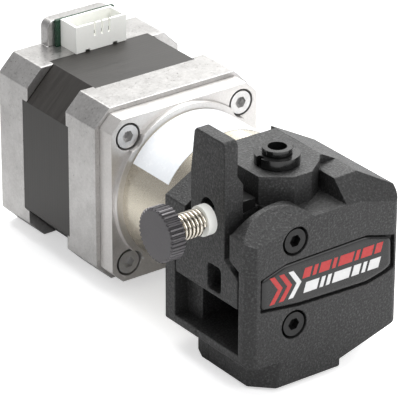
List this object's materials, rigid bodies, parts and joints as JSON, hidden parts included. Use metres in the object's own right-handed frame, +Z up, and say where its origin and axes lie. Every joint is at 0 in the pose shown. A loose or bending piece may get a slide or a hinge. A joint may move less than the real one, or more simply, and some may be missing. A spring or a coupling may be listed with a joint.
{
  "type": "filament extruder",
  "caption": "Geared stepper filament extruder: motor, planetary gearbox, toothed drive wheel pair, sprung lever with thumbscrew, push-fit tube inlet.",
  "frame": {"origin": "where the filament axis meets the underside of the foot", "axes": "+X right seen from the cover, +Y from the cover towards the motor, +Z up along the filament path to the inlet"},
  "size_m": [0.0567, 0.0963, 0.0568],
  "materials": {
    "plastic": "fine sintered nylon grain",
    "cast_alloy": "bead blasted",
    "lamination": "dark oxide sheet edges",
    "copper": "varnished wire",
    "nickel_steel": "nickel plated, warm",
    "bearing_steel": "ground",
    "gear_steel": "hardened, machined",
    "black_oxide": "black oxide",
    "white_nylon": "moulded",
    "contact_tin": "tin plated",
    "board_green": "solder mask",
    "sticker": "blank white film",
    "label": "dark domed film with plain bars",
    "zinc_steel": "zinc plated",
    "coupling_black": "moulded",
    "magnet": "nickel plated magnet",
    "knob_steel": "gunmetal, knurled",
    "spring_steel": "bright wire"
  },
  "bodies": {
    "root": {"motor_rear_cap": "cast_alloy", "motor_laminations": "lamination", "motor_windings": "copper", "motor_front_cap": "cast_alloy", "motor_case_bolts": "nickel_steel", "motor_bearing_outer_rings": "bearing_steel", "motor_bearing_balls": "bearing_steel", "motor_connector": "white_nylon", "connector_pins": "contact_tin", "motor_circuit_board": "board_green", "gearbox_base_plate": "cast_alloy", "gearbox_screws": "nickel_steel", "ring_gear": "nickel_steel", "gearbox_sticker": "sticker", "gearbox_front_cap": "nickel_steel", "output_bearing_outer_ring": "bearing_steel", "output_bearing_balls": "bearing_steel", "housing": "plastic", "gearbox_face_screws": "black_oxide", "cover": "plastic", "cover_screws": "black_oxide", "cover_label": "label", "front_bearing": "bearing_steel", "tension_nut": "black_oxide", "inlet_sleeve": "coupling_black", "inlet_collet": "coupling_black", "inlet_clip": "coupling_black", "tension_spring": "spring_steel"},
    "output": {"output_shaft": "gear_steel", "planet_pins": "bearing_steel", "pin_clips": "bearing_steel", "output_bearing_inner_ring": "bearing_steel", "drive_wheel": "gear_steel", "drive_set_screw": "black_oxide"},
    "rotor": {"rotor_stacks": "lamination", "rotor_magnet": "magnet", "motor_shaft": "gear_steel", "motor_bearing_inner_rings": "bearing_steel", "sun_gear": "gear_steel"},
    "planet_1": {"planet_gear_1": "gear_steel"},
    "planet_2": {"planet_gear_2": "gear_steel"},
    "planet_3": {"planet_gear_3": "gear_steel"},
    "lever": {"lever": "plastic", "idler_pin": "bearing_steel"},
    "idler": {"idler_wheel": "gear_steel", "idler_bearings": "bearing_steel"},
    "bush": {"tension_bush": "white_nylon"},
    "washer": {"spring_washer": "zinc_steel"},
    "thumbscrew": {"thumbscrew": "knob_steel"}
  },
  "joints": [
    {"name": "output_spin", "type": "hinge", "parent": "root", "child": "output", "pos_m": [0.00375, 0.0383, 0.0244], "axis": [0, 1, 0], "continuous": true},
    {"name": "rotor_spin", "type": "hinge", "parent": "root", "child": "rotor", "pos_m": [0.00375, 0.0383, 0.0244], "axis": [0, 1, 0], "continuous": true},
    {"name": "planet_1_spin", "type": "hinge", "parent": "output", "child": "planet_1", "pos_m": [0.00375, 0.0383, 0.0334], "axis": [0, 1, 0], "continuous": true},
    {"name": "planet_2_spin", "type": "hinge", "parent": "output", "child": "planet_2", "pos_m": [-0.00404, 0.0383, 0.0199], "axis": [0, 1, 0], "continuous": true},
    {"name": "planet_3_spin", "type": "hinge", "parent": "output", "child": "planet_3", "pos_m": [0.01154, 0.0383, 0.0199], "axis": [0, 1, 0], "continuous": true},
    {"name": "lever_swing", "type": "hinge", "parent": "root", "child": "lever", "pos_m": [-0.00615, 0, 0.0145], "axis": [0, -1, 0], "range_deg": [0, 5], "stiffness_Nm_per_rad": 0.5, "springref_deg": -5.73},
    {"name": "idler_spin", "type": "hinge", "parent": "lever", "child": "idler", "pos_m": [-0.00375, 0.0383, 0.0244], "axis": [0, 1, 0], "continuous": true},
    {"name": "bush_slide", "type": "slide", "parent": "root", "child": "bush", "axis": [-1, 0, 0], "range_m": [0, 0.0025], "deforming": ["tension_spring"]},
    {"name": "thumbscrew_travel", "type": "slide", "parent": "root", "child": "washer", "axis": [-1, 0, 0], "range_m": [-0.00035, 0.0021], "deforming": ["tension_spring"]},
    {"name": "thumbscrew_turn", "type": "hinge", "parent": "washer", "child": "thumbscrew", "pos_m": [-0.02625, 0, 0.0372], "axis": [-1, 0, 0], "range_deg": [-185, 1085]}
  ],
  "couplings": [
    {"joint": "rotor_spin", "follows": "output_spin", "ratio": 5},
    {"joint": "planet_1_spin", "follows": "output_spin", "ratio": -2.6667},
    {"joint": "planet_2_spin", "follows": "output_spin", "ratio": -2.6667},
    {"joint": "planet_3_spin", "follows": "output_spin", "ratio": -2.6667},
    {"joint": "idler_spin", "follows": "output_spin", "ratio": -1},
    {"joint": "bush_slide", "follows": "lever_swing", "m_per_rad": 0.0275},
    {"joint": "thumbscrew_turn", "follows": "thumbscrew_travel", "rad_per_m": 8976}
  ]
}
